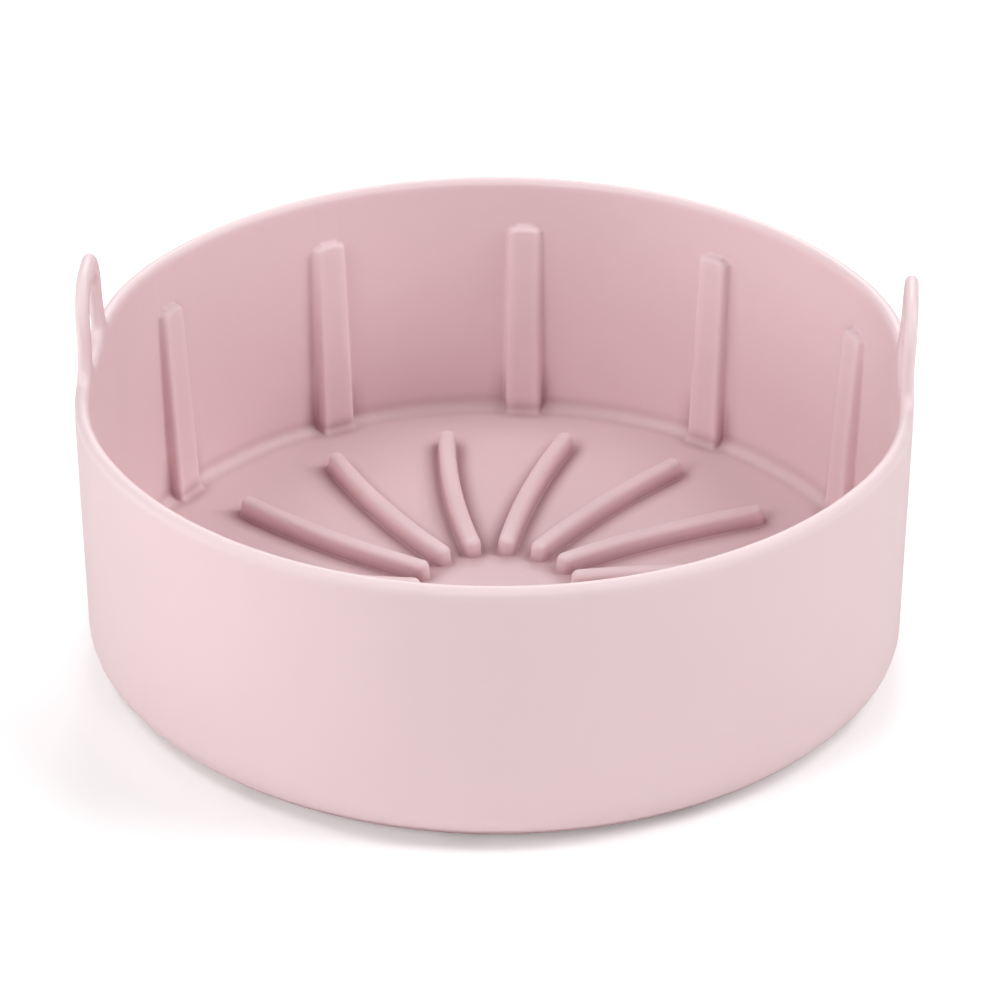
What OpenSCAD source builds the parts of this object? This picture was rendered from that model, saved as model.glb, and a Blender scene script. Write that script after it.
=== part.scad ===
// Round silicone basket liner, moulded in one piece.
// The origin is at the middle of the underside, +Z is up and the two ears stand on the X axis.
// Every level of the wall follows one plan outline of tangent arcs: long round stretches at the
// front and back, a slacker bend beside each ear and a short straight where the ear stands.

/* [Tub] */
// Outside width of the rim, front to back
rim_d = 190; // [170:1:230]
// Height of the tub, without the ears
tub_h = 65; // [45:0.5:90]
// Thickness of the wall at the rim, which is fully rounded
wall_t = 3.1; // [2:0.1:4]
// Draft of the outside of the wall, in degrees
outer_draft = 0.25; // [0:0.05:2]
// Draft of the inside of the wall, in degrees, which thickens it towards the floor
inner_draft = 1.8; // [0.5:0.1:3]
// Thickness of the floor
floor_t = 3.1; // [2:0.1:5]
// Radius of the outside edge between wall and underside
base_edge_r = 9.6; // [6:0.1:11]
// Radius of the inside corner between wall and floor
floor_edge_r = 3; // [2.2:0.1:5]
// Depth that each ear's side is flattened from the round
side_flat = 2.9; // [1:0.1:5]
// Bend radius of the wall beside each flat
side_bend_r = 70; // [35:1:75]

/* [Floor ribs] */
// Number of curved ribs around the bare middle of the floor
floor_rib_count = 15; // [9:1:16]
// Width of a floor rib
floor_rib_w = 4.4; // [3:0.1:5.5]
// Height of a floor rib above the floor
floor_rib_h = 4.2; // [2:0.1:6]
// Radius of the rounded top edges of a floor rib
floor_rib_edge_r = 1.4; // [0.5:0.1:1.4]
// Distance from the centre to the inner tips of the floor ribs
floor_rib_start_r = 17.6; // [15:0.1:30]
// Distance from the centre to the outer tips of the floor ribs
floor_rib_end_r = 71.5; // [50:0.5:76]
// Bend radius of a floor rib, seen from above
floor_rib_bend_r = 240; // [120:5:600]
// Lean of a floor rib against the radial direction at its middle, in degrees
floor_rib_lean = 4.9; // [0:0.1:15]
// Bearing of the first floor rib's middle, in degrees from the right-hand ear
floor_rib_bearing = 9.8; // [0:0.1:24]

/* [Wall ribs] */
// Number of upright ribs on the wall on each side of the ears
wall_rib_count = 5; // [3:2:5]
// Bearing from one wall rib to the next, in degrees
wall_rib_pitch = 30.9; // [22:0.1:32]
// Turn of the middle wall rib off the line square to the ears, in degrees
wall_rib_turn = -1; // [-4:0.1:4]
// Height of the top of the wall ribs above the table
wall_rib_top = 52.8; // [35:0.1:58]
// Width of a wall rib's face at its top
wall_rib_w = 7.1; // [6:0.1:11]
// Taper of each side of a wall rib, in degrees, wider towards the floor
wall_rib_taper = 0.7; // [0:0.1:1.5]
// Slant of a wall rib's flanks and top, in degrees, wider towards the wall
wall_rib_flank = 15; // [0:1:30]
// Depth that a wall rib stands off the wall at its top
wall_rib_depth = 1.9; // [1.2:0.1:3]
// Draft of the face of a wall rib, in degrees, which deepens it towards the floor
wall_rib_draft = 2.9; // [2:0.1:4]
// Radius of the rounded edges of a wall rib
wall_rib_edge_r = 1.2; // [0.4:0.1:1.4]

/* [Ears] */
// Width of an ear over its two legs
ear_w = 26; // [22:0.5:34]
// Height of an ear above the rim
ear_h = 22; // [18:0.5:36]
// Thickness of an ear
ear_t = 2.8; // [1.5:0.1:3]
// Width of the band of silicone around the finger slot
ear_band_w = 5.2; // [3.5:0.1:6]
// Outside radius of the upper corners of an ear
ear_corner_r = 10; // [7:0.5:10.5]
// Radius of the hollow blends where the legs flow into the rim
ear_foot_r = 3.5; // [2:0.1:4]
// Lean of the ears outwards from upright, in degrees
ear_lean = 1; // [0:0.5:4]

/* [Hidden] */
$fn = 72;
// Steps in a full turn for the slack bend of a floor rib, and for its small edges
slack_steps = 720;
edge_steps = 48;
// Cuts run past the surface that they open by this much
cut_lap = 1;

rim_r = rim_d / 2;
rim_edge_r = wall_t / 2;
// Height at which the wall ends and its rounded rim begins
rim_z = tub_h - rim_edge_r;

// The outside wall line leans in by outer_draft and runs into the rounded base edge
outer_foot_r = rim_r - rim_z * tan(outer_draft);
base_edge_z = base_edge_r;
base_edge_x = outer_foot_r + base_edge_r * tan(outer_draft) - base_edge_r / cos(outer_draft);

// The inside wall line leans in by inner_draft down to the floor corner
inner_foot_r = rim_r - wall_t - (rim_z - floor_t) * tan(inner_draft);
corner_z = floor_t + floor_edge_r;
corner_x = inner_foot_r + floor_edge_r * tan(inner_draft) - floor_edge_r / cos(inner_draft);

// The bends beside the flats turn about four centres at this distance from the middle
hub_r = rim_r - side_bend_r;

// Bearing at which the round wall passes into the bend beside the flat
bend_a = acos((hub_r - side_flat) / hub_r);
flat_half = hub_r * sin(bend_a);

// The ears stand in the middle of the flattened wall
ear_x = rim_r - side_flat - wall_t / 2;
// Depth that the blends dip below the top of the rim, so that both surfaces cross cleanly
ear_dip = 0.3;
leg_y = (ear_w - ear_band_w) / 2;
leg_z = tub_h + ear_foot_r - ear_dip;
// The ears lean about the middle of the feet that lie in the wall
ear_tilt_z = leg_z - ear_foot_r - ear_band_w / 2;
ear_bend_y = ear_w / 2 - ear_corner_r;
ear_bend_z = tub_h + ear_h - ear_corner_r;
ear_bend_r = ear_corner_r - ear_band_w / 2;

// Ribs bite this far into the floor or the wall that carries them
floor_rib_bite = 0.8;
wall_rib_bite = 0.6;
floor_rib_mid_r = (floor_rib_start_r + floor_rib_end_r) / 2;
floor_rib_half = (floor_rib_end_r - floor_rib_start_r - floor_rib_w) / 2;
floor_rib_half_a = floor_rib_half / floor_rib_bend_r * 180 / PI;
floor_rib_pitch = 360 / floor_rib_count;
wall_rib_face_r = inner_foot_r + (wall_rib_top - floor_t) * tan(inner_draft) - wall_rib_depth;
wall_rib_run = wall_rib_top - floor_t;
// Depth from a wall rib's face to its buried back, which is enough at the foot, where it stands out most
wall_rib_body = wall_rib_depth + wall_rib_run * (tan(wall_rib_draft) - tan(inner_draft)) + wall_rib_bite;
// The bars that cross to make a wall rib run past it by this much
wall_rib_lap = 5;

liner_colour = [0.91, 0.76, 0.78];

// Section of the wall, and of the floor from the distance inner outwards
module wall_section(inner) {
    difference() {
        union() {
            polygon([
                [inner, 0],
                [base_edge_x, 0],
                [base_edge_x, base_edge_z],
                [base_edge_x + base_edge_r * cos(outer_draft), base_edge_z - base_edge_r * sin(outer_draft)],
                [rim_r, rim_z],
                [inner, rim_z]
            ]);
            translate([base_edge_x, base_edge_z])
                circle(r = base_edge_r);
        }
        hollow_section(inner - cut_lap);
    }
    translate([rim_r - rim_edge_r, rim_z])
        circle(r = rim_edge_r);
}

// Section of the space inside the wall
module hollow_section(inner) {
    polygon([
        [inner, corner_z],
        [corner_x + floor_edge_r * cos(inner_draft), corner_z - floor_edge_r * sin(inner_draft)],
        [rim_r - wall_t, rim_z],
        [rim_r - wall_t, tub_h],
        [inner, tub_h]
    ]);
    translate([inner, floor_t])
        square([corner_x - inner, floor_edge_r + cut_lap]);
    translate([corner_x, corner_z])
        circle(r = floor_edge_r);
}

// The bend about the hub centre at one bearing, covering the bearings from start on
module side_bend(bearing, start) {
    translate([hub_r * cos(bearing), hub_r * sin(bearing), 0])
        rotate([0, 0, start])
            rotate_extrude(angle = bend_a)
                translate([-hub_r, 0])
                    wall_section(hub_r);
}

// The wall all round, then the two wedges of floor that its inner ends leave open
module tub() {
    for (side = [0, 180]) {
        rotate([0, 0, side + bend_a])
            rotate_extrude(angle = 180 - 2 * bend_a)
                wall_section(0);
        side_bend(side + bend_a, side);
        side_bend(side - bend_a, side - bend_a);
        rotate([0, 0, side])
            translate([-side_flat, flat_half, 0])
                rotate([90, 0, 0])
                    linear_extrude(height = 2 * flat_half)
                        wall_section(hub_r);
    }
    for (side = [0, 180])
        rotate([0, 0, side])
            linear_extrude(height = floor_t)
                polygon([[0, 0], [hub_r - side_flat, -flat_half], [hub_r - side_flat, flat_half]]);
}

// Half of a floor rib's section, from its middle line out
module floor_rib_half_section() {
    height = floor_rib_h + floor_rib_bite;
    square([floor_rib_w / 2, height - floor_rib_edge_r]);
    square([floor_rib_w / 2 - floor_rib_edge_r, height]);
    translate([floor_rib_w / 2 - floor_rib_edge_r, height - floor_rib_edge_r])
        intersection() {
            circle(r = floor_rib_edge_r, $fn = edge_steps);
            square(floor_rib_edge_r);
        }
}

// One rib: an arc of the section with half a round cap on each end
module floor_rib() {
    translate([floor_rib_mid_r, 0, floor_t - floor_rib_bite])
        rotate([0, 0, -floor_rib_lean])
            translate([0, -floor_rib_bend_r, 0]) {
                rotate([0, 0, 90 - floor_rib_half_a])
                    rotate_extrude(angle = 2 * floor_rib_half_a, $fn = slack_steps)
                        translate([floor_rib_bend_r, 0]) {
                            floor_rib_half_section();
                            mirror([1, 0])
                                floor_rib_half_section();
                        }
                for (end = [-1, 1])
                    rotate([0, 0, 90 + end * floor_rib_half_a])
                        translate([floor_rib_bend_r, 0, 0])
                            rotate([0, 0, 90 * end - 90])
                                rotate_extrude(angle = 180)
                                    floor_rib_half_section();
            }
}

module floor_ribs() {
    for (rib = [0 : floor_rib_count - 1])
        rotate([0, 0, floor_rib_bearing + rib * floor_rib_pitch])
            floor_rib();
}

// A face along X = 0 that ends at Y = 0 in a rounded edge, with the slanting flank behind it
module slanted_edge(span) {
    edge_run = wall_rib_edge_r * tan(45 - wall_rib_flank / 2);
    polygon([
        [0, -span],
        [0, -edge_run],
        [wall_rib_edge_r, -edge_run],
        [edge_run * cos(wall_rib_flank), edge_run * sin(wall_rib_flank)],
        [wall_rib_body, wall_rib_body * tan(wall_rib_flank)],
        [wall_rib_body, -span]
    ]);
    translate([wall_rib_edge_r, -edge_run])
        circle(r = wall_rib_edge_r);
}

// One wall rib, with its face towards the centre and its foot in the floor
module wall_rib() {
    length = wall_rib_run + floor_rib_bite;
    span = wall_rib_w + wall_rib_lap;
    translate([wall_rib_face_r, 0, wall_rib_top])
        rotate([0, wall_rib_draft, 0])
            intersection() {
                wall_rib_bar(0, length, span);
                wall_rib_bar(1, length, span);
                rotate([90, 0, 0])
                    linear_extrude(height = 2 * span, center = true)
                        slanted_edge(length);
            }
}

// The bar that forms one side of a wall rib
module wall_rib_bar(side, length, span) {
    mirror([0, side, 0])
        rotate([wall_rib_taper, 0, 0])
            translate([0, wall_rib_w / 2, -length])
                linear_extrude(height = length + wall_rib_lap)
                    slanted_edge(span);
}

module wall_ribs() {
    first = 90 + wall_rib_turn - (wall_rib_count - 1) / 2 * wall_rib_pitch;
    for (side = [0, 180], rib = [0 : wall_rib_count - 1])
        rotate([0, 0, side + first + rib * wall_rib_pitch])
            wall_rib();
}

// Section of the ear's band: X across the band, Y through its thickness
module ear_section() {
    square([ear_band_w - ear_t, ear_t], center = true);
    for (side = [-1, 1])
        translate([side * (ear_band_w - ear_t) / 2, 0])
            circle(d = ear_t);
}

// A bent stretch of the band about a centre, between two angles up from +X
module ear_bend(centre, radius, from, to) {
    translate([centre[0], centre[1], 0])
        rotate([0, 0, from])
            rotate_extrude(angle = to - from)
                translate([radius, 0])
                    ear_section();
}

// Half of an ear, drawn flat: X along the rim and Y up
module ear_half() {
    translate([leg_y, leg_z, 0])
        rotate([-90, 0, 0])
            linear_extrude(height = ear_bend_z - leg_z)
                ear_section();
    ear_bend([ear_bend_y, ear_bend_z], ear_bend_r, 0, 90);
    translate([0, ear_bend_z + ear_bend_r, 0])
        rotate([0, 90, 0])
            linear_extrude(height = ear_bend_y)
                rotate(90)
                    ear_section();
    ear_bend([ear_w / 2 + ear_foot_r, leg_z], ear_foot_r + ear_band_w / 2, 180, 270);
    ear_bend([ear_w / 2 - ear_band_w - ear_foot_r, leg_z], ear_foot_r + ear_band_w / 2, 270, 360);
}

module ears() {
    for (side = [0, 180])
        rotate([0, 0, side])
            translate([ear_x, 0, ear_tilt_z])
                rotate([90, 0, 90])
                    rotate([ear_lean, 0, 0])
                        for (half = [0, 1])
                            mirror([half, 0, 0])
                                translate([0, -ear_tilt_z, 0])
                                    ear_half();
}

module liner() {
    color(liner_colour) {
        tub();
        floor_ribs();
        wall_ribs();
        ears();
    }
}

liner();
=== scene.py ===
"""Looks of a round silicone basket liner, moulded in one piece.

The whole liner is one closed mesh. Its wall is a grid of columns round the girth and rows along the
section. Wall ribs push that grid in, and ears and floor ribs are stitched in with triangulated patches.
Sizes are in millimetres until the mesh is made, with the ears on X and the camera at the front, on -Y.
"""

import math

import bmesh
import bpy
import numpy as np
from mathutils import Euler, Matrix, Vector
from mathutils.geometry import delaunay_2d_cdt


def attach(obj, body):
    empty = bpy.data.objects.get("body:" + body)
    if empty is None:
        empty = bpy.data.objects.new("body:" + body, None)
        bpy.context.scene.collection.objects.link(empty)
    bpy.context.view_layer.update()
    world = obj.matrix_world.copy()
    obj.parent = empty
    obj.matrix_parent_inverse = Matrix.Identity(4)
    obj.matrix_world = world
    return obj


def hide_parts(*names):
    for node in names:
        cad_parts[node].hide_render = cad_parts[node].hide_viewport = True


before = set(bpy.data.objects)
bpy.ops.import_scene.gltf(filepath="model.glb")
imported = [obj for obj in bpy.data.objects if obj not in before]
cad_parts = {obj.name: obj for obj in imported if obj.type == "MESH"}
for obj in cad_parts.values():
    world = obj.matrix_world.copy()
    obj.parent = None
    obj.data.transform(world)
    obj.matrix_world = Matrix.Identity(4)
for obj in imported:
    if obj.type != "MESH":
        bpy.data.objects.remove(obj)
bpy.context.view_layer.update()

MM = 0.001

# Tub
RIM_R = 95.0
TUB_H = 65.0
WALL_T = 3.1
OUTER_DRAFT = math.radians(0.25)
INNER_DRAFT = math.radians(1.8)
FLOOR_T = 3.1
BASE_EDGE_R = 9.6
FLOOR_EDGE_R = 3.0
# Share by which that corner tightens at the foot of a wall rib
FLOOR_EDGE_TIGHTER = 0.45
# How far each side is flattened at its ear, and the rim's radius where it bends from there into the round
SIDE_FLAT = 2.9
SIDE_BEND_R = 70.0

# Floor ribs
FLOOR_RIB_COUNT = 15
FLOOR_RIB_W = 3.7
FLOOR_RIB_H = 4.4
FLOOR_RIB_DRAFT = math.radians(5.0)
FLOOR_RIB_EDGE_R = 1.4
FLOOR_RIB_FOOT_R = 0.3
FLOOR_RIB_START_R = 17.6
FLOOR_RIB_END_R = 71.5
FLOOR_RIB_BEND_R = 205.0
FLOOR_RIB_LEAN = math.radians(6.3)
FLOOR_RIB_BEARING = math.radians(11.0)
# The middle that the floor ribs turn about lies this far behind the tub's
FLOOR_RIB_BACK = 1.0

# Wall ribs
WALL_RIB_COUNT = 5
WALL_RIB_PITCH = math.radians(30.9)
WALL_RIB_TURN = math.radians(-1.0)
WALL_RIB_TOP = 52.8
WALL_RIB_W = 7.1
WALL_RIB_TAPER = math.radians(0.7)
WALL_RIB_FLANK = math.radians(15.0)
WALL_RIB_DEPTH = 1.9
WALL_RIB_DRAFT = math.radians(2.9)
WALL_RIB_EDGE_R = 1.2
WALL_RIB_FOOT_R = 0.7
# Rounding of the face's two upper corners
WALL_RIB_CORNER_R = 1.8

# Ears
EAR_W = 26.0
EAR_H = 22.0
EAR_T = 2.9
EAR_BAND_W = 5.2
EAR_CORNER_R = 10.0
EAR_FOOT_R = 3.5
# Height above the rim's middle line over which the rim's thickness eases into an ear's
EAR_T_RUN = 6.0
# Outward lean of each ear, and the height over which it sets in
EAR_LEAN = math.radians(1.2)
EAR_LEAN_RUN = 3.0
# Turn of each ear towards the front, and the height over which it sets in
EAR_TOE = math.radians(1.8)
EAR_TOE_RUN = 9.0

# Reach of the patch that carries an ear, to each side of the ear's middle and down to this height
EAR_REACH = 24.0
EAR_PATCH_Z = 60.5

# Flat margin kept beside each fillet, so that its shading ends cleanly
MARGIN = 0.4

# Mesh: how many steps each stretch has, and the spacing of rows, columns and points
RIM_STEPS = 14
EDGE_STEPS = 6
CORNER_STEPS = 8
BASE_STEPS = 14
OUTER_STEPS = 7
FLOOR_RIB_STEPS = 24
FLOOR_RIB_END_STEPS = 12
COLUMN_STEP = 4.0
WALL_STEP = 5.0
EAR_STEP = 0.8
EAR_FILL_STEP = 1.8
# An arc has at least so many steps, and a small one is stepped as if it had this radius
LEAST_ARC_STEPS = 3
LEAST_ARC_R = 2.0
# Passes that settle where the middle line of an ear's rounded edge runs
INSET_PASSES = 6

# Points on the girth from which a bearing's place is read
GIRTH_SAMPLES = 20001

# Sockets of a colour Mix node
MIX_SHARE, MIX_FIRST, MIX_SECOND, MIX_RESULT = 0, 6, 7, 2

# Stands for a point of the wall's grid that an ear's patch takes the place of
GAP = -1

# Places closer than this count as the same
SAME = 1e-6
PATCH_SAME = 1e-7

# Silicone as 8-bit sRGB: the two tints of its clouding, the painted shade in its creases and the painted
# highlight on its thin edges
CLOUD_TINTS = ((235, 208, 211), (239, 213, 216))
PAINTED_CREASE_SHADE = (150, 86, 97)
PAINTED_EDGE_HIGHLIGHT = (250, 230, 232)

# Painted shade in creases: reach in metres, the openness at which the shade is full and at which it ends, and
# the heights in metres between which it weakens to a small share up the wall
CREASE_REACH = 0.0045
CREASE_OPEN = (0.48, 0.84)
CREASE_WEAKENS = (0.0085, 0.016)
CREASE_ABOVE = 0.1

# Painted highlight on thin edges: reach in metres, the openness at which it is palest and at which that ends
EDGE_REACH = 0.003
EDGE_OPEN = (0.4, 0.95)
EDGE_PALE = 0.95

OPEN_SAMPLES = 3

# Range of the roughness, and how fine the clouding and the mould's grain are
GLOSS = (0.44, 0.54)
CLOUD_SCALE = 26.0
GRAIN_SCALE = 1500.0

# White of the studio, the grey of its floor for light that bounces off it, and what lifts it to white
WHITE = (1.0, 1.0, 1.0, 1.0)
FLOOR_GREY = (0.88, 0.88, 0.88, 1.0)
FLOOR_LIFT = 0.2

# Studio lamps: name, bearing and height above the horizon in degrees, and power in watts
LAMPS = (
    ("front_low", 270, 12, 12.2),
    ("left_low", 180, 12, 9.2),
    ("left_front", 225, 32, 12.6),
    ("right", 0, 32, 16.8),
    ("back", 90, 32, 18.5),
    ("left_high", 180, 58, 12.4),
    ("right_high", 0, 58, 14.5),
)

# The lamps' distance, size and aim, and half the floor's side, in metres
LAMP_DISTANCE = 2.2
LAMP_SIZE = 0.9
LAMP_AIM = (0.0, 0.0, 0.03)
STAGE_HALF = 2.0

# Camera: place in metres, turn in degrees, and sensor and lens in millimetres
CAMERA_PLACE = (0.043850, -0.760485, 0.485373)
CAMERA_TURN = (59.10688, -0.02407, 3.25964)
CAMERA_SENSOR = 36.0
CAMERA_LENS = 140.747
CAMERA_CLIP = (0.01, 50.0)

# Rim, and the plan's two kinds of arc: the hub is where the bends beside the ears have their middle
RIM_EDGE_R = WALL_T / 2
RIM_Z = TUB_H - RIM_EDGE_R
MID_N = RIM_R - RIM_EDGE_R
HUB_R = RIM_R - SIDE_BEND_R
BEND_A = math.acos((HUB_R - SIDE_FLAT) / HUB_R)
FLAT_HALF = HUB_R * math.sin(BEND_A)

# The girth is measured along the outline whose round stretches have this radius
GIRTH_R = 90.0
BEND_RUN = (GIRTH_R - HUB_R) * BEND_A
QUARTER = FLAT_HALF + BEND_RUN + GIRTH_R * (math.pi / 2 - BEND_A)
GIRTH = 4 * QUARTER


def plan(s, n):
    """Plan position of points s along the girth and n out from the middle, both arrays."""
    s, n = np.broadcast_arrays(np.asarray(s, float) % GIRTH, np.asarray(n, float))
    lower = s > 2 * QUARTER
    t = np.where(lower, GIRTH - s, s)
    left = t > QUARTER
    u = np.where(left, 2 * QUARTER - t, t)
    bend = np.clip((u - FLAT_HALF) / (GIRTH_R - HUB_R), 0, BEND_A)
    bearing = BEND_A + (u - FLAT_HALF - BEND_RUN) / GIRTH_R
    x = np.where(
        u <= FLAT_HALF + BEND_RUN,
        HUB_R * math.cos(BEND_A) + (n - HUB_R) * np.cos(bend),
        n * np.cos(bearing),
    )
    y = np.where(
        u <= FLAT_HALF,
        u,
        np.where(
            u <= FLAT_HALF + BEND_RUN,
            FLAT_HALF + (n - HUB_R) * np.sin(bend),
            n * np.sin(bearing),
        ),
    )
    return np.where(left, -x, x), np.where(lower, -y, y)


def girth_at(bearing):
    """The place along the girth that lies at a bearing from the middle."""
    s = np.linspace(0, GIRTH, GIRTH_SAMPLES)
    x, y = plan(s, GIRTH_R)
    return float(np.interp(bearing % (2 * math.pi), np.unwrap(np.arctan2(y, x)), s))


def inner_n(z):
    """How far out the inner wall lies at a height."""
    return RIM_R - WALL_T - (RIM_Z - z) * math.tan(INNER_DRAFT)


def outer_n(z):
    """How far out the outer wall lies at a height."""
    return RIM_R - (RIM_Z - z) * math.tan(OUTER_DRAFT)


def rounded_step(half, height, lean, top_r, foot_r, steps):
    """Half a rib's section from its middle out, as (offset, height) points, with both corners rounded.

    The flank leans outwards by lean below the top corner at half.
    """
    turn = math.pi / 2 - lean
    top_run, foot_run = top_r * math.tan(turn / 2), foot_r * math.tan(turn / 2)
    foot = half + height * math.tan(lean)
    start = half - top_run - MARGIN
    if half > 0:
        # A narrow face has no room for the whole margin
        start = max(start, (half - top_run) / 2)
    points = [(start, height)]
    for a in np.linspace(0, turn, steps):
        points.append((half - top_run + top_r * math.sin(a), height - top_r * (1 - math.cos(a))))
    for a in np.linspace(turn, 0, steps):
        points.append((foot + foot_run - foot_r * math.sin(a), foot_r * (1 - math.cos(a))))
    points.append((foot + foot_run + MARGIN, 0.0))
    return points


class Builder:
    """Collects the mesh's points and faces."""

    def __init__(self):
        self.points = []
        self.faces = []

    def add(self, x, y, z):
        self.points.append((float(x), float(y), float(z)))
        return len(self.points) - 1

    def add_on_wall(self, s, n, z):
        x, y = plan(s, n)
        return self.add(x, y, z)

    def quads(self, first, second, closed=False):
        """Faces between two rows of as many points, except where a point is a gap."""
        count = len(first)
        for k in range(count if closed else count - 1):
            m = (k + 1) % count
            face = (first[k], first[m], second[m], second[k])
            if GAP not in face:
                self.faces.append(face)

    def patch(self, loops, fill, keys, flip=False):
        """Triangles over the flat region inside the first loop and outside the others.

        loops and fill are 2D points, and keys gives the mesh point of each of them, in the same order.
        """
        flat, edges, polygons = [], [], []
        for loop in loops:
            start = len(flat)
            flat += [Vector(p) for p in loop]
            edges += [(start + k, start + (k + 1) % len(loop)) for k in range(len(loop))]
            polygons.append(np.array(loop, float))
        flat += [Vector(p) for p in fill]
        verts, _, faces, origins, _, _ = delaunay_2d_cdt(flat, edges, [], 0, PATCH_SAME)
        for face in faces:
            centre = np.mean([verts[k][:] for k in face], axis=0)
            if not inside(centre, polygons[0]) or any(inside(centre, p) for p in polygons[1:]):
                continue
            face = [keys[origins[k][0]] for k in face]
            self.faces.append(tuple(reversed(face)) if flip else tuple(face))


def inside(point, polygon):
    """Is a point inside a closed polygon?"""
    x, y = point
    x0, y0 = polygon[:, 0], polygon[:, 1]
    x1, y1 = np.roll(x0, -1), np.roll(y0, -1)
    crosses = (y0 > y) != (y1 > y)
    with np.errstate(divide="ignore", invalid="ignore"):
        at = x0 + (y - y0) * (x1 - x0) / (y1 - y0)
    return bool(np.count_nonzero(crosses & (x < at)) % 2)


def below_rib_top(z):
    """How far a height lies below the wall ribs' top."""
    return max(WALL_RIB_TOP - float(z), 0.0)


def wall_rib_depth(z):
    """How far a wall rib's face stands off the wall at a height."""
    return WALL_RIB_DEPTH + below_rib_top(z) * (math.tan(WALL_RIB_DRAFT) - math.tan(INNER_DRAFT))


def wall_rib_half(z):
    """Half of the width of a wall rib's face at a height, less in its rounded upper corners."""
    run = below_rib_top(z)
    rise = max(WALL_RIB_CORNER_R - run, 0.0)
    corner = WALL_RIB_CORNER_R - math.sqrt(WALL_RIB_CORNER_R**2 - rise**2)
    return WALL_RIB_W / 2 + run * math.tan(WALL_RIB_TAPER) - corner


def wall_rib_side(z):
    """Offsets from a wall rib's middle and shares of its depth, from the middle out, at a height."""
    depth = wall_rib_depth(z)
    section = rounded_step(
        wall_rib_half(z), depth, WALL_RIB_FLANK, WALL_RIB_EDGE_R, WALL_RIB_FOOT_R, EDGE_STEPS
    )
    section.insert(0, (section[0][0] / 2, depth))
    return [(e, d / depth) for e, d in section]


def wall_rib_bearings():
    """Bearings of all the wall ribs, which stand in two groups between the ears."""
    first = math.pi / 2 + WALL_RIB_TURN - (WALL_RIB_COUNT - 1) / 2 * WALL_RIB_PITCH
    return [side + first + k * WALL_RIB_PITCH for side in (0, math.pi) for k in range(WALL_RIB_COUNT)]


def wall_columns(z):
    """Girth positions and rib depths of all the columns at a height, in order round the girth."""
    side = wall_rib_side(z)
    depth = wall_rib_depth(z)
    reach = wall_rib_side(FLOOR_T)[-1][0]
    stops = [(girth_at(bearing), reach, "rib") for bearing in wall_rib_bearings()]
    # The girth starts and ends in the middle of the right ear
    stops += [(middle, EAR_REACH, "ear") for middle in (0.0, 2 * QUARTER, GIRTH)]
    stops.sort()
    columns = []
    for k, (middle, half, kind) in enumerate(stops):
        if kind == "rib":
            columns += [(middle - e, share * depth) for e, share in reversed(side)]
            columns += [(middle, depth)]
            columns += [(middle + e, share * depth) for e, share in side]
        else:
            # Columns stand twice as close at an ear
            count = int(round(2 * EAR_REACH / (COLUMN_STEP / 2)))
            for e in np.linspace(-EAR_REACH, EAR_REACH, count + 1):
                if -SAME <= middle + e < GIRTH - SAME:
                    columns.append((middle + e, 0.0))
        if k + 1 < len(stops):
            start, end = middle + half, stops[k + 1][0] - stops[k + 1][1]
            count = max(2, int(round((end - start) / COLUMN_STEP)))
            for s in np.linspace(start, end, count + 1)[1:-1]:
                columns.append((s, 0.0))
    return columns


def ear_offset(s):
    """Distance along the girth from the nearer ear's middle, less than 0 before it."""
    s = s % (2 * QUARTER)
    return s if s <= QUARTER else s - 2 * QUARTER


def inner_rows():
    """Heights of the rows up the inner wall, with each one's share of the wall ribs' depth."""
    corner_top = FLOOR_T + FLOOR_EDGE_R * (1 - math.sin(INNER_DRAFT))
    top = rounded_step(0.0, WALL_RIB_DEPTH, WALL_RIB_FLANK, WALL_RIB_EDGE_R, WALL_RIB_FOOT_R, EDGE_STEPS)
    top = [(WALL_RIB_TOP + e, d / WALL_RIB_DEPTH) for e, d in top]
    count = int((top[0][0] - corner_top) / WALL_STEP)
    rows = [(z, 1.0) for z in np.linspace(corner_top, top[0][0], count + 1)[1:-1]]
    rows += top
    above = top[-1][0]
    rows += [(z, 0.0) for z in ((above + EAR_PATCH_Z) / 2, EAR_PATCH_Z, (EAR_PATCH_Z + RIM_Z) / 2, RIM_Z)]
    return rows


def eased(share):
    """A share that starts and ends gently, held between 0 and 1."""
    t = min(max(share, 0.0), 1.0)
    return t * t * (3 - 2 * t)


def ear_half_thickness(z):
    """Half of the thickness, which eases from the rim's to the ear's."""
    return RIM_EDGE_R + (EAR_T / 2 - RIM_EDGE_R) * eased((z - RIM_Z) / EAR_T_RUN)


def ear_lean(z):
    """How far an ear leans out at a height."""
    rise = max(z - TUB_H, 0.0)
    if rise < EAR_LEAN_RUN:
        return math.tan(EAR_LEAN) * rise * rise / (2 * EAR_LEAN_RUN)
    return math.tan(EAR_LEAN) * (rise - EAR_LEAN_RUN / 2)


def ear_toe(s, z):
    """How far an ear's turn towards the front moves it out, at a place on the girth."""
    # The girth runs to the back at the right ear, and to the front at the left one
    right = math.cos(math.pi * s / (2 * QUARTER)) > 0
    y = ear_offset(s) if right else -ear_offset(s)
    return math.tan(EAR_TOE) * y * eased((z - TUB_H) / EAR_TOE_RUN)


def ear_middle_n(s, z):
    """How far out the middle of an ear's thickness lies."""
    return MID_N + ear_lean(z) + ear_toe(s, z)


def arc_points(cy, cz, radius, start, end, outward):
    """Points with normals along an arc; outward is 1 where the material is inside it."""
    steps = max(LEAST_ARC_STEPS, int(abs(end - start) * max(radius, LEAST_ARC_R) / EAR_STEP))
    points = []
    for a in np.linspace(start, end, steps + 1):
        c, s = math.cos(a), math.sin(a)
        points.append((cy + radius * c, cz + radius * s, outward * c, outward * s))
    return points


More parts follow.
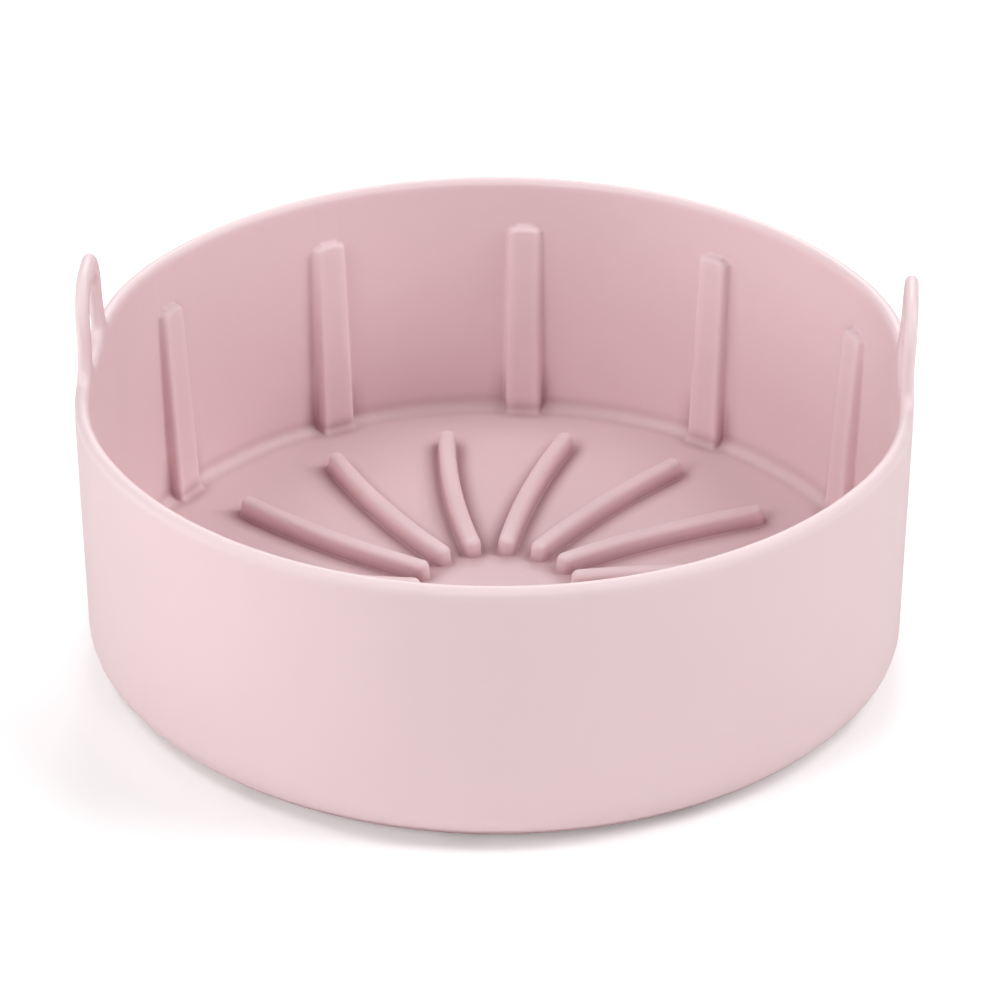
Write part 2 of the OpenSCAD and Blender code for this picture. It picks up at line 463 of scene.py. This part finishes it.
def line_points(y0, z0, y1, z1, ny, nz):
    """Points inside a straight stretch, without its ends."""
    steps = max(2, int(math.hypot(y1 - y0, z1 - z0) / (2 * EAR_STEP)))
    share = np.linspace(0, 1, steps + 1)[1:-1]
    return [(y0 + (y1 - y0) * t, z0 + (z1 - z0) * t, ny, nz) for t in share]


def inset(points):
    """The middle line of the rounded edge that runs along an outline, with the edge's radius."""
    line = []
    for y, z, ny, nz in points:
        h = EAR_T / 2
        # The radius depends on the height of the middle line, which depends on the radius
        for _ in range(INSET_PASSES):
            h = ear_half_thickness(z - nz * h)
        line.append((y - ny * h, z - nz * h, ny, nz, h))
    return line


def ear_outline():
    """The rim and the ear's outside, from the right of the ear to its left."""
    foot_y, foot_z = EAR_W / 2 + EAR_FOOT_R, TUB_H + EAR_FOOT_R
    bend_y, bend_z = EAR_W / 2 - EAR_CORNER_R, TUB_H + EAR_H - EAR_CORNER_R
    half = line_points(EAR_REACH, TUB_H, foot_y, TUB_H, 0, 1)
    half += arc_points(foot_y, foot_z, EAR_FOOT_R, 1.5 * math.pi, math.pi, -1)
    half += line_points(EAR_W / 2, foot_z, EAR_W / 2, bend_z, 1, 0)
    half += arc_points(bend_y, bend_z, EAR_CORNER_R, 0, math.pi / 2, 1)
    half += line_points(bend_y, TUB_H + EAR_H, 0, TUB_H + EAR_H, 0, 1)
    middle = [(0.0, TUB_H + EAR_H, 0.0, 1.0)]
    return half + middle + [(-y, z, -ny, nz) for y, z, ny, nz in reversed(half)]


def slot_outline():
    """The finger slot, once round."""
    inner_y = EAR_W / 2 - EAR_BAND_W
    foot_y, foot_z = inner_y - EAR_FOOT_R, TUB_H + EAR_FOOT_R
    bend_y, bend_z = EAR_W / 2 - EAR_CORNER_R, TUB_H + EAR_H - EAR_CORNER_R
    top_z = TUB_H + EAR_H - EAR_BAND_W
    half = line_points(0, TUB_H, foot_y, TUB_H, 0, 1)
    half += arc_points(foot_y, foot_z, EAR_FOOT_R, 1.5 * math.pi, 2 * math.pi, -1)
    half += line_points(inner_y, foot_z, inner_y, bend_z, -1, 0)
    half += arc_points(bend_y, bend_z, EAR_CORNER_R - EAR_BAND_W, 0, math.pi / 2, -1)
    half += line_points(bend_y, top_z, 0, top_z, 0, -1)
    bottom, top = [(0.0, TUB_H, 0.0, 1.0)], [(0.0, top_z, 0.0, -1.0)]
    return bottom + half + top + [(-y, z, -ny, nz) for y, z, ny, nz in reversed(half)]


def rounded_edge(mesh, middle, line):
    """Rows of points around the rounded edge along a line, from the outer face over to the inner one."""
    rows = []
    for y, z, ny, nz, h in line:
        row = []
        for a in np.linspace(0, math.pi, RIM_STEPS + 1):
            out, across = h * math.sin(a), h * math.cos(a)
            height = z + out * nz
            s = middle + y + out * ny
            row.append(mesh.add_on_wall(s, ear_middle_n(s, height) + across, height))
        rows.append(row)
    return rows


def wall_row(mesh, columns, n, z, share=0.0):
    """The numbers of a row's points at a height and distance out, less a share of each column's depth.

    A point that an ear's patch takes the place of has the number GAP.
    """
    row = []
    for s, depth in columns:
        hidden = abs(ear_offset(s)) < EAR_REACH - SAME and z > EAR_PATCH_Z + SAME
        row.append(GAP if hidden else mesh.add_on_wall(s, n - depth * share, z))
    return row


def floor_corner_rows(mesh):
    """Rows of the floor's corner, which each wall rib pushes in with it and tightens."""
    rows = [[] for _ in range(CORNER_STEPS + 2)]
    for s, depth in wall_columns(FLOOR_T + FLOOR_EDGE_R):
        share = depth / wall_rib_depth(FLOOR_T)
        radius = FLOOR_EDGE_R * (1 - FLOOR_EDGE_TIGHTER * share)
        face = inner_n(FLOOR_T + radius) - depth
        for k, a in enumerate(np.linspace(-math.pi / 2, -INNER_DRAFT, CORNER_STEPS + 1)):
            n = face - radius / math.cos(INNER_DRAFT) + radius * math.cos(a)
            rows[k + 1].append(mesh.add_on_wall(s, n, FLOOR_T + radius + radius * math.sin(a)))
            if k == 0:
                rows[0].append(mesh.add_on_wall(s, n - MARGIN, FLOOR_T))
    return rows


def outer_section():
    """The outside from below the rim to the underside, as (distance out, height) points."""
    base_x = outer_n(0) + BASE_EDGE_R * math.tan(OUTER_DRAFT) - BASE_EDGE_R / math.cos(OUTER_DRAFT)
    low = BASE_EDGE_R * (1 - math.sin(OUTER_DRAFT))
    heights = [(EAR_PATCH_Z + RIM_Z) / 2, EAR_PATCH_Z]
    heights += list(np.linspace(EAR_PATCH_Z, low, OUTER_STEPS + 1)[1:-1])
    section = [(outer_n(z), z) for z in heights]
    for a in np.linspace(-OUTER_DRAFT, -math.pi / 2, BASE_STEPS + 1):
        section.append((base_x + BASE_EDGE_R * math.cos(a), BASE_EDGE_R + BASE_EDGE_R * math.sin(a)))
    return section + [(base_x - MARGIN, 0.0)]


def build_wall(mesh):
    """The wall inside and out with the rim.

    Returns its rows from the floor over the rim to the underside, as point numbers, the numbers of the
    rows that an ear's patch joins, and the rim's columns.
    """
    rows = floor_corner_rows(mesh)
    for z, share in inner_rows():
        rows.append(wall_row(mesh, wall_columns(z), inner_n(z), z, share))

    # The inner wall's last rows are the patch's foot, one between, and the rim's start
    levels = {"inner": len(rows) - 3, "rim_inner": len(rows) - 1}
    columns = wall_columns(RIM_Z)
    for a in np.linspace(math.pi, 0, RIM_STEPS + 1)[1:]:
        n, z = MID_N + RIM_EDGE_R * math.cos(a), RIM_Z + RIM_EDGE_R * math.sin(a)
        rows.append(wall_row(mesh, columns, n, z))
    # The outside starts with one row between, and then the patch's foot
    levels["rim_outer"] = len(rows) - 1
    levels["outer"] = levels["rim_outer"] + 2
    rows += [wall_row(mesh, columns, n, z) for n, z in outer_section()]

    for lower, upper in zip(rows, rows[1:]):
        mesh.quads(lower, upper, closed=True)
    return rows, levels, columns


def build_ear(mesh, middle, rows, levels, columns):
    """One ear with the stretch of rim that it stands on, stitched to the wall's grid."""
    offsets = {k: wrapped(s - middle) for k, (s, _) in enumerate(columns)}
    near = sorted((k for k in offsets if abs(offsets[k]) <= EAR_REACH + SAME), key=offsets.get)
    left, right = near[0], near[-1]

    outline = inset(ear_outline())
    edge = rounded_edge(mesh, middle, outline)
    rim_rows = range(levels["rim_outer"], levels["rim_inner"] - 1, -1)
    right_end = [rows[k][right] for k in rim_rows]
    left_end = [rows[k][left] for k in rim_rows]
    strip = [right_end] + edge + [left_end]
    for first, second in zip(strip, strip[1:]):
        mesh.quads(first, second)

    slot = inset(slot_outline())
    slot_edge = rounded_edge(mesh, middle, slot)
    for k in range(len(slot_edge)):
        mesh.quads(slot_edge[(k + 1) % len(slot_edge)], slot_edge[k])

    # The flat of the ear and the wall under it, drawn as girth against height
    middle_z = (EAR_PATCH_Z + RIM_Z) / 2
    loop = [(offsets[k], EAR_PATCH_Z) for k in near]
    loop += [(EAR_REACH, middle_z), (EAR_REACH, RIM_Z)]
    loop += [(y, z) for y, z, _, _, _ in outline]
    loop += [(-EAR_REACH, RIM_Z), (-EAR_REACH, middle_z)]
    hole = [(y, z) for y, z, _, _, _ in slot]
    fill = fill_points(loop, hole)
    for face in ("outer", "inner"):
        step = 1 if face == "outer" else -1
        base, upper = levels[face], levels["rim_" + face]
        between = base - step
        end = 0 if face == "outer" else RIM_STEPS
        keys = [rows[base][k] for k in near]
        keys += [rows[between][right], rows[upper][right]]
        keys += [row[end] for row in edge]
        keys += [rows[upper][left], rows[between][left]]
        keys += [row[end] for row in slot_edge]
        for y, z in fill:
            if z <= RIM_Z:
                n = outer_n(z) if face == "outer" else inner_n(z)
            else:
                n = ear_middle_n(middle + y, z) + step * ear_half_thickness(z)
            keys.append(mesh.add_on_wall(middle + y, n, z))
        mesh.patch([loop, hole], fill, keys, flip=face == "inner")


def wrapped(s):
    """A girth distance in the range of half a girth each way."""
    return (s + GIRTH / 2) % GIRTH - GIRTH / 2


def fill_points(loop, hole):
    """A grid of points inside a loop and outside its hole, clear of both."""
    outline, gap = np.array(loop), np.array(hole)
    edge = np.concatenate([outline, gap])
    points = []
    for y in np.arange(-EAR_REACH + EAR_FILL_STEP / 2, EAR_REACH - EAR_FILL_STEP / 3, EAR_FILL_STEP):
        for z in np.arange(EAR_PATCH_Z + EAR_FILL_STEP / 2, TUB_H + EAR_H, EAR_FILL_STEP):
            clear = np.hypot(edge[:, 0] - y, edge[:, 1] - z).min() > EAR_FILL_STEP / 2
            if clear and inside((y, z), outline) and not inside((y, z), gap):
                points.append((y, z))
    return points


def floor_rib_ring(offset):
    """A floor rib's outline in plan, at an offset from its curved middle line, before it is turned."""
    middle_r = (FLOOR_RIB_START_R + FLOOR_RIB_END_R) / 2
    middle_a = math.pi / 2 - FLOOR_RIB_LEAN
    half_a = (FLOOR_RIB_END_R - FLOOR_RIB_START_R - FLOOR_RIB_W) / 2 / FLOOR_RIB_BEND_R
    centre = polar((middle_r, 0.0), -FLOOR_RIB_BEND_R, middle_a)
    side = np.linspace(-half_a, half_a, FLOOR_RIB_STEPS + 1)
    cap = np.linspace(0, math.pi, FLOOR_RIB_END_STEPS + 1)[1:-1]
    inner_end, outer_end = middle_a + half_a, middle_a - half_a
    points = [polar(centre, FLOOR_RIB_BEND_R + offset, middle_a + a) for a in side]
    end = polar(centre, FLOOR_RIB_BEND_R, inner_end)
    points += [polar(end, offset, inner_end + a) for a in cap]
    points += [polar(centre, FLOOR_RIB_BEND_R - offset, middle_a + a) for a in reversed(side)]
    end = polar(centre, FLOOR_RIB_BEND_R, outer_end)
    points += [polar(end, offset, outer_end + math.pi + a) for a in cap]
    return points


def build_floor_ribs(mesh):
    """All the curved ribs. Returns the foot loop of each one as flat points and point numbers."""
    section = rounded_step(
        FLOOR_RIB_W / 2, FLOOR_RIB_H, FLOOR_RIB_DRAFT, FLOOR_RIB_EDGE_R, FLOOR_RIB_FOOT_R, EDGE_STEPS
    )
    feet = []
    for k in range(FLOOR_RIB_COUNT):
        turn = FLOOR_RIB_BEARING + k * 2 * math.pi / FLOOR_RIB_COUNT
        rings = []
        for offset, height in section:
            turned = [rotated(point, turn) for point in floor_rib_ring(offset)]
            flat = [(x, y + FLOOR_RIB_BACK) for x, y in turned]
            rings.append((flat, [mesh.add(x, y, FLOOR_T + height) for x, y in flat]))
        for (_, inner), (_, outer) in zip(rings, rings[1:]):
            mesh.quads(outer, inner, closed=True)
        close_top(mesh, rings[0][1])
        feet.append(rings[-1])
    return feet


def close_top(mesh, ring):
    """The flat top inside a floor rib's innermost ring: a strip between its sides, and its two round ends."""
    side, cap = FLOOR_RIB_STEPS + 1, FLOOR_RIB_END_STEPS - 1
    mesh.quads(ring[:side], list(reversed(ring[side + cap : 2 * side + cap])))
    mesh.faces.append(tuple(ring[side - 1 : side + cap + 1]))
    mesh.faces.append(tuple(ring[2 * side + cap - 1 :] + ring[:1]))


def polar(centre, radius, bearing):
    """The point at a distance and bearing from another."""
    return (centre[0] + radius * math.cos(bearing), centre[1] + radius * math.sin(bearing))


def rotated(point, turn):
    """A point turned about the origin."""
    c, s = math.cos(turn), math.sin(turn)
    return (point[0] * c - point[1] * s, point[0] * s + point[1] * c)


def build_liner():
    """The liner's mesh as an object, in metres."""
    mesh = Builder()
    rows, levels, columns = build_wall(mesh)
    for middle in (0.0, 2 * QUARTER):
        build_ear(mesh, middle, rows, levels, columns)

    feet = build_floor_ribs(mesh)
    border = [mesh.points[k][:2] for k in rows[0]]
    keys = list(rows[0])
    for _, ring in feet:
        keys += ring
    mesh.patch([border] + [flat for flat, _ in feet], [], keys)

    under = [mesh.points[k][:2] for k in rows[-1]]
    mesh.patch([under], [], list(rows[-1]), flip=True)

    data = bpy.data.meshes.new("liner_shell")
    data.from_pydata([(x * MM, y * MM, z * MM) for x, y, z in mesh.points], [], mesh.faces)
    shell = bmesh.new()
    shell.from_mesh(data)
    bmesh.ops.recalc_face_normals(shell, faces=shell.faces)
    shell.to_mesh(data)
    shell.free()
    data.shade_smooth()
    data.update()
    shell = bpy.data.objects.new("liner_shell", data)
    bpy.context.scene.collection.objects.link(shell)
    return shell


def set_input(node, name, value):
    """Sets a node's input by name."""
    node.inputs[name].default_value = value


def linear(channel):
    """The linear value of an 8-bit sRGB channel."""
    c = channel / 255
    return c / 12.92 if c <= 0.04045 else ((c + 0.055) / 1.055) ** 2.4


def colour(red, green, blue):
    """The linear colour of an 8-bit sRGB one."""
    return (linear(red), linear(green), linear(blue), 1.0)


def map_range(nodes, links, source, given, wanted):
    """The output of a node that maps a value from one range to another."""
    node = nodes.new("ShaderNodeMapRange")
    for name, value in zip(("From Min", "From Max", "To Min", "To Max"), given + wanted):
        set_input(node, name, value)
    links.new(source, node.inputs["Value"])
    return node.outputs["Result"]


def mixed(nodes, links, share, first, second):
    """The output of a node that mixes two colours, each one either set or another node's output."""
    node = nodes.new("ShaderNodeMix")
    node.data_type = "RGBA"
    links.new(share, node.inputs[MIX_SHARE])
    for value, socket in ((first, node.inputs[MIX_FIRST]), (second, node.inputs[MIX_SECOND])):
        if isinstance(value, bpy.types.NodeSocket):
            links.new(value, socket)
        else:
            socket.default_value = value
    return node.outputs[MIX_RESULT]


def noise(nodes, links, place, scale, detail):
    """The output of a noise texture at a place."""
    node = nodes.new("ShaderNodeTexNoise")
    set_input(node, "Scale", scale)
    set_input(node, "Detail", detail)
    links.new(place, node.inputs["Vector"])
    return node.outputs["Fac"]


def openness(nodes, reach, inwards=False):
    """The output of a node that tells how open the surface is within a reach, seen outwards or inwards."""
    node = nodes.new("ShaderNodeAmbientOcclusion")
    node.samples = OPEN_SAMPLES
    node.inside = inwards
    set_input(node, "Distance", reach)
    return node.outputs["AO"]


def new_material(name):
    """A material with its nodes, links and shader."""
    material = bpy.data.materials.new(name)
    material.use_nodes = True
    tree = material.node_tree
    return material, tree.nodes, tree.links, tree.nodes["Principled BSDF"]


def silicone_material():
    """Satin moulded silicone: faint clouding of colour and gloss, the mould's fine texture, painted shade in
    creases and a painted highlight on thin edges.
    """
    material, nodes, links, shader = new_material("pink_silicone")
    set_input(shader, "IOR", 1.41)
    set_input(shader, "Subsurface Weight", 0.03)
    set_input(shader, "Subsurface Radius", (1.0, 0.45, 0.4))
    set_input(shader, "Subsurface Scale", 0.002)
    set_input(shader, "Sheen Weight", 0.05)
    set_input(shader, "Sheen Roughness", 0.5)

    place = nodes.new("ShaderNodeTexCoord").outputs["Object"]
    cloud = noise(nodes, links, place, CLOUD_SCALE, 3.0)
    tint = mixed(nodes, links, cloud, colour(*CLOUD_TINTS[0]), colour(*CLOUD_TINTS[1]))

    # Painted shade: creases are darkened in the base colour, most of all round the floor ribs
    hidden = map_range(nodes, links, openness(nodes, CREASE_REACH), CREASE_OPEN, (1.0, 0.0))
    split = nodes.new("ShaderNodeSeparateXYZ")
    links.new(place, split.inputs[0])
    low = map_range(nodes, links, split.outputs["Z"], CREASE_WEAKENS, (1.0, CREASE_ABOVE))
    share = nodes.new("ShaderNodeMath")
    share.operation = "MULTIPLY"
    links.new(hidden, share.inputs[0])
    links.new(low, share.inputs[1])
    painted_shade = mixed(nodes, links, share.outputs[0], tint, colour(*PAINTED_CREASE_SHADE))

    # Painted highlight: thin, convex edges such as rib tops and the rim are made paler in the base colour
    edge = map_range(nodes, links, openness(nodes, EDGE_REACH, inwards=True), EDGE_OPEN, (EDGE_PALE, 0.0))
    base_with_painted_light = mixed(nodes, links, edge, painted_shade, colour(*PAINTED_EDGE_HIGHLIGHT))
    links.new(base_with_painted_light, shader.inputs["Base Color"])

    gloss = map_range(nodes, links, cloud, (0.0, 1.0), GLOSS)
    links.new(gloss, shader.inputs["Roughness"])

    bump = nodes.new("ShaderNodeBump")
    set_input(bump, "Strength", 0.15)
    set_input(bump, "Distance", 0.00005)
    links.new(noise(nodes, links, place, GRAIN_SCALE, 2.0), bump.inputs["Height"])
    links.new(bump.outputs["Normal"], shader.inputs["Normal"])
    return material


def floor_material():
    """A white studio sweep that takes the soft shadow."""
    material, nodes, links, shader = new_material("studio_floor")
    set_input(shader, "Roughness", 1.0)
    set_input(shader, "Specular IOR Level", 0.0)
    seen = nodes.new("ShaderNodeLightPath").outputs["Is Camera Ray"]
    links.new(mixed(nodes, links, seen, FLOOR_GREY, WHITE), shader.inputs["Base Color"])
    lift = map_range(nodes, links, seen, (0.0, 1.0), (0.0, FLOOR_LIFT))
    set_input(shader, "Emission Color", WHITE)
    links.new(lift, shader.inputs["Emission Strength"])
    return material


def area_light(name, place, power):
    """A round soft lamp that faces the object."""
    data = bpy.data.lights.new(name, "AREA")
    data.shape = "DISK"
    data.size = LAMP_SIZE
    data.energy = power
    lamp = bpy.data.objects.new(name, data)
    lamp.location = place
    lamp.rotation_euler = (Vector(LAMP_AIM) - Vector(place)).to_track_quat("-Z", "Y").to_euler()
    bpy.context.scene.collection.objects.link(lamp)


def build_floor():
    """The floor that the object stands on, a part of the stage."""
    corners = [(x * STAGE_HALF, y * STAGE_HALF, 0) for x, y in ((-1, -1), (1, -1), (1, 1), (-1, 1))]
    data = bpy.data.meshes.new("studio_floor")
    data.from_pydata(corners, [], [(0, 1, 2, 3)])
    ground = bpy.data.objects.new("studio_floor", data)
    data.materials.append(floor_material())
    bpy.context.scene.collection.objects.link(ground)


def build_world():
    """A world that is white to the camera and gives no light."""
    world = bpy.data.worlds.new("studio")
    world.use_nodes = True
    nodes, links = world.node_tree.nodes, world.node_tree.links
    back = nodes["Background"]
    set_input(back, "Color", WHITE)
    seen = nodes.new("ShaderNodeLightPath")
    links.new(seen.outputs["Is Camera Ray"], back.inputs["Strength"])
    bpy.context.scene.world = world


def build_lamps():
    """The ring of soft lamps."""
    for name, bearing, height, power in LAMPS:
        bearing, height = math.radians(bearing), math.radians(height)
        x, y = polar((0.0, 0.0), LAMP_DISTANCE * math.cos(height), bearing)
        area_light(name, (x, y, LAMP_DISTANCE * math.sin(height) + LAMP_AIM[2]), power)


def build_camera():
    """The camera at the photograph's angle."""
    data = bpy.data.cameras.new("camera")
    data.sensor_width = CAMERA_SENSOR
    data.lens = CAMERA_LENS
    data.clip_start, data.clip_end = CAMERA_CLIP
    camera = bpy.data.objects.new("camera", data)
    camera.location = CAMERA_PLACE
    camera.rotation_euler = Euler([math.radians(angle) for angle in CAMERA_TURN])
    bpy.context.scene.collection.objects.link(camera)
    bpy.context.scene.camera = camera


liner = build_liner()
liner.data.materials.append(silicone_material())
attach(liner, "root")
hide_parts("liner")
build_floor()
build_world()
build_lamps()
build_camera()
bpy.context.scene.view_settings.view_transform = "Standard"
